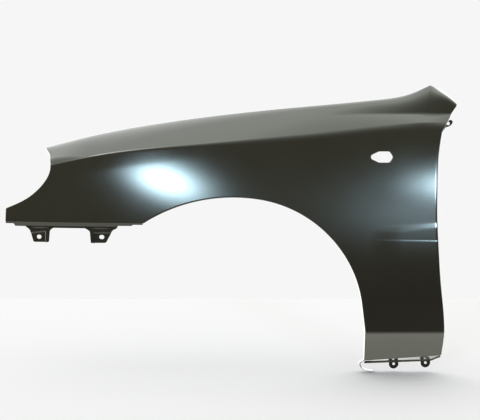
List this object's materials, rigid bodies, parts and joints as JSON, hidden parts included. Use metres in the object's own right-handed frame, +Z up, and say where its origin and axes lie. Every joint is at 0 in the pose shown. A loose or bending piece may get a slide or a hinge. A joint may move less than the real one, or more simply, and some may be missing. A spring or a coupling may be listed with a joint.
{
  "type": "car front fender",
  "caption": "Left front car fender: one pressed sheet-steel panel with a crowned side, wheel arch, headlamp cut-out, side lamp hole and bolt flanges.",
  "frame": {"origin": "underside of the hood flange's middle bolt pad, midway between its two holes", "axes": "+X to the rear of the car, +Y inboard and away from the painted face, +Z up"},
  "size_m": [1.1855, 0.2458, 0.7406],
  "materials": {
    "e_coat_black": "satin to semi-gloss black electro-dip primer, unpainted"
  },
  "bodies": {
    "root": {"fender_panel": "e_coat_black"}
  },
  "joints": []
}
